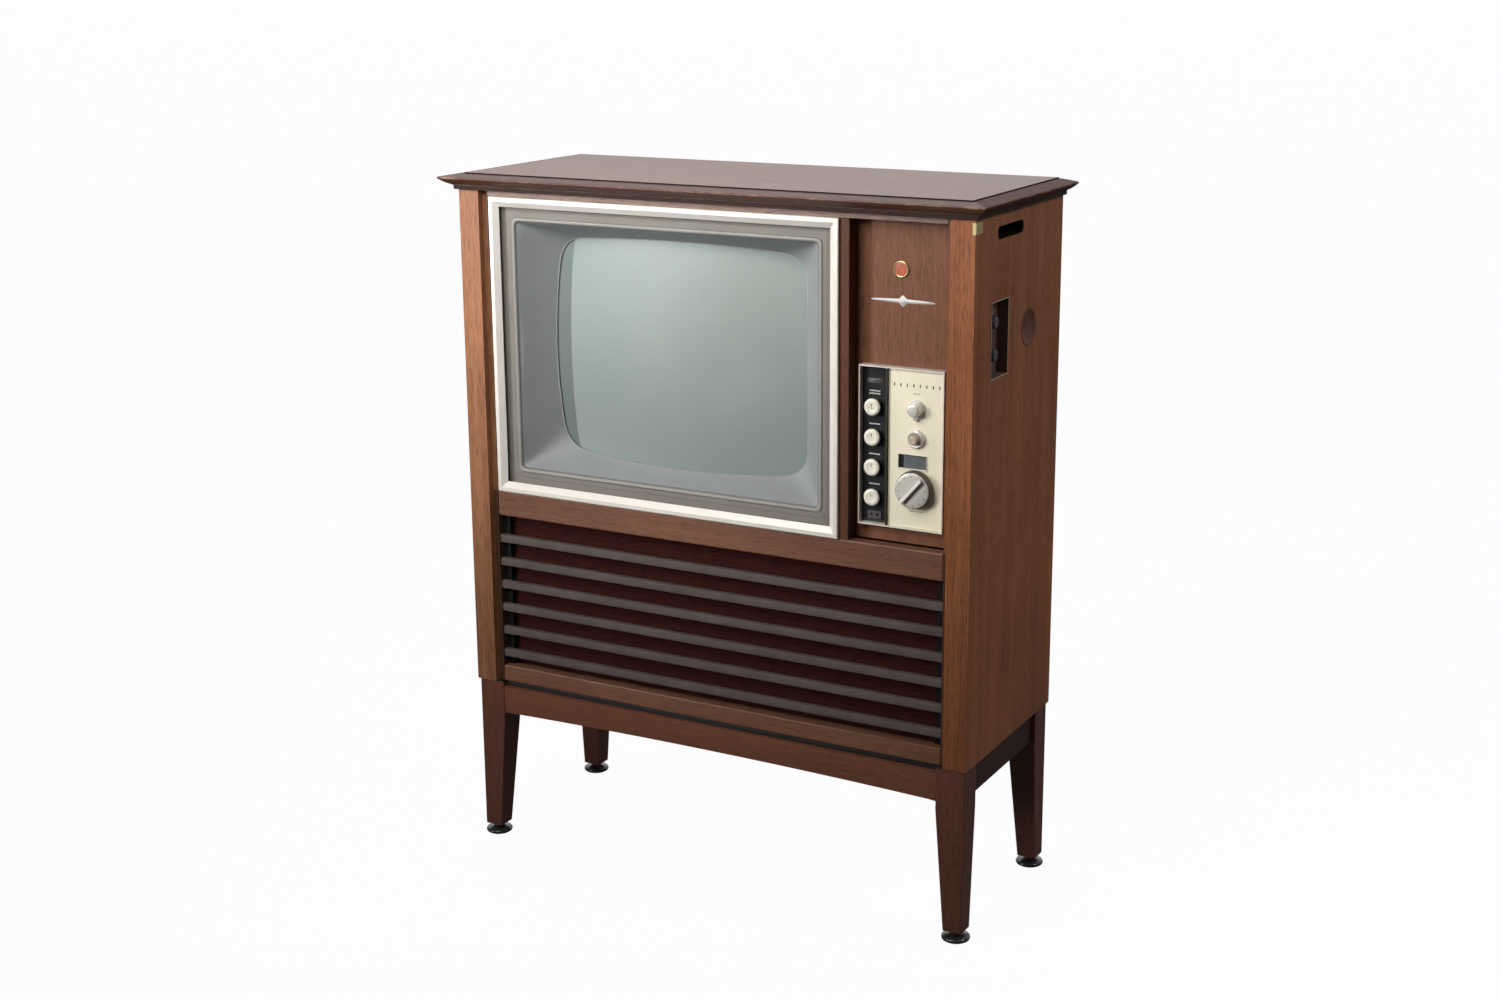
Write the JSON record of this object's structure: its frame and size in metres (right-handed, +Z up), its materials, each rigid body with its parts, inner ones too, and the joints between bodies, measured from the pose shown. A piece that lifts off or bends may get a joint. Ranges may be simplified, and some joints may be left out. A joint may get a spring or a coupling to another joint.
{
  "type": "console television",
  "caption": "Upright wooden console television on tapered legs: framed curved screen at the left, control panel with knobs at the right, slatted speaker grille below.",
  "frame": {"origin": "on the floor, under the centre of the object's bounding box", "axes": "+X to the right of a viewer in front of the screen, +Y to the back, +Z up"},
  "size_m": [0.807, 0.38, 0.9715],
  "materials": {
    "cabinet_wood": "satin lacquer",
    "top_wood": "satin lacquer",
    "leg_wood": "satin lacquer",
    "black_paint": "matt black paint",
    "slat_paint": "dark brown paint",
    "grille_cloth": "coarse weave",
    "satin_metal": "satin anodised",
    "cream_metal": "pale gold satin",
    "cream_plastic": "semi-gloss",
    "chrome": "bright",
    "brass": "satin",
    "mask_grey": "matt",
    "tube_glass": "grey-green phosphor behind glass",
    "clear_glass": "polished",
    "smoked_glass": "polished",
    "black_plastic": "satin",
    "grey_plastic": "matt",
    "brown_plastic": "satin",
    "hardboard": "raw pressed board",
    "steel": "zinc plated",
    "copper_coil": "varnished winding",
    "speaker_paper": "paper and painted basket",
    "glide_plastic": "satin",
    "rubber": "matt"
  },
  "bodies": {
    "cabinet": {"top_panel": "top_wood", "top_moulding_front": "top_wood", "top_moulding_left": "top_wood", "top_moulding_right": "top_wood", "side_panel_left": "cabinet_wood", "side_panel_right": "cabinet_wood", "top_rail": "cabinet_wood", "middle_rail": "cabinet_wood", "bottom_rail": "cabinet_wood", "divider": "cabinet_wood", "control_board": "cabinet_wood", "bottom_board": "hardboard", "rear_cover": "hardboard", "neck_cup": "black_plastic", "cord_inlet": "rubber", "antenna_terminal": "brown_plastic", "screen_frame": "satin_metal", "safety_glass": "clear_glass", "screen_mask": "mask_grey", "picture_tube": "tube_glass", "deflection_yoke": "copper_coil", "tube_socket": "brown_plastic", "grille_slats": "slat_paint", "grille_cloth": "grille_cloth", "speaker_baffle": "hardboard", "speaker_left": "speaker_paper", "speaker_right": "speaker_paper", "control_bezel": "satin_metal", "control_plate": "cream_metal", "control_strip": "black_plastic", "button_collar": "chrome", "indicator_window": "smoked_glass", "tuner": "steel", "chassis": "steel", "power_transformer": "black_paint", "side_control_plate": "black_plastic", "side_cap": "brown_plastic", "corner_clip": "brass", "leg_front_left": "leg_wood", "leg_front_right": "leg_wood", "leg_rear_left": "leg_wood", "leg_rear_right": "leg_wood", "apron_front": "leg_wood", "apron_rear": "leg_wood", "apron_left": "black_paint", "apron_right": "black_paint"},
    "volume": {"volume_knob": "cream_plastic"},
    "contrast": {"contrast_knob": "cream_plastic"},
    "brightness": {"brightness_knob": "cream_plastic"},
    "vertical_hold": {"vertical_hold_knob": "cream_plastic"},
    "tone": {"tone_knob": "chrome"},
    "button": {"push_button": "cream_plastic"},
    "channel_selector": {"channel_knob": "cream_metal", "channel_disc": "black_plastic"},
    "side_control_upper": {"side_knob_upper": "grey_plastic"},
    "side_control_lower": {"side_knob_lower": "grey_plastic"},
    "foot_front_left": {"glide_front_left": "glide_plastic"},
    "foot_front_right": {"glide_front_right": "glide_plastic"},
    "foot_rear_left": {"glide_rear_left": "glide_plastic"},
    "foot_rear_right": {"glide_rear_right": "glide_plastic"}
  },
  "joints": [
    {"name": "volume_turn", "type": "hinge", "parent": "cabinet", "child": "volume", "pos_m": [0.2363, -0.1385, 0.701], "axis": [0, 1, 0], "range_deg": [0, 300]},
    {"name": "contrast_turn", "type": "hinge", "parent": "cabinet", "child": "contrast", "pos_m": [0.2363, -0.1385, 0.6616], "axis": [0, 1, 0], "range_deg": [-150, 150]},
    {"name": "brightness_turn", "type": "hinge", "parent": "cabinet", "child": "brightness", "pos_m": [0.2363, -0.1385, 0.6222], "axis": [0, 1, 0], "range_deg": [-150, 150]},
    {"name": "vertical_hold_turn", "type": "hinge", "parent": "cabinet", "child": "vertical_hold", "pos_m": [0.2363, -0.1385, 0.5828], "axis": [0, 1, 0], "range_deg": [-150, 150]},
    {"name": "tone_turn", "type": "hinge", "parent": "cabinet", "child": "tone", "pos_m": [0.2966, -0.143, 0.7038], "axis": [0, 1, 0], "range_deg": [-150, 150]},
    {"name": "button_push", "type": "slide", "parent": "cabinet", "child": "button", "axis": [0, 1, 0], "range_m": [0, 0.004], "stiffness_N_per_m": 250},
    {"name": "channel_turn", "type": "hinge", "parent": "cabinet", "child": "channel_selector", "pos_m": [0.2966, -0.143, 0.6005], "axis": [0, 1, 0], "continuous": true},
    {"name": "side_upper_turn", "type": "hinge", "parent": "cabinet", "child": "side_control_upper", "pos_m": [0.368, -0.089, 0.812], "axis": [-1, 0, 0], "range_deg": [-150, 150]},
    {"name": "side_lower_turn", "type": "hinge", "parent": "cabinet", "child": "side_control_lower", "pos_m": [0.368, -0.089, 0.77], "axis": [-1, 0, 0], "range_deg": [-150, 150]},
    {"name": "foot_front_left_turn", "type": "hinge", "parent": "cabinet", "child": "foot_front_left", "pos_m": [-0.3665, -0.153, 0], "axis": [0, 0, 1], "continuous": true},
    {"name": "foot_front_right_turn", "type": "hinge", "parent": "cabinet", "child": "foot_front_right", "pos_m": [0.3665, -0.153, 0], "axis": [0, 0, 1], "continuous": true},
    {"name": "foot_rear_left_turn", "type": "hinge", "parent": "cabinet", "child": "foot_rear_left", "pos_m": [-0.3665, 0.109, 0], "axis": [0, 0, 1], "continuous": true},
    {"name": "foot_rear_right_turn", "type": "hinge", "parent": "cabinet", "child": "foot_rear_right", "pos_m": [0.3665, 0.109, 0], "axis": [0, 0, 1], "continuous": true}
  ]
}
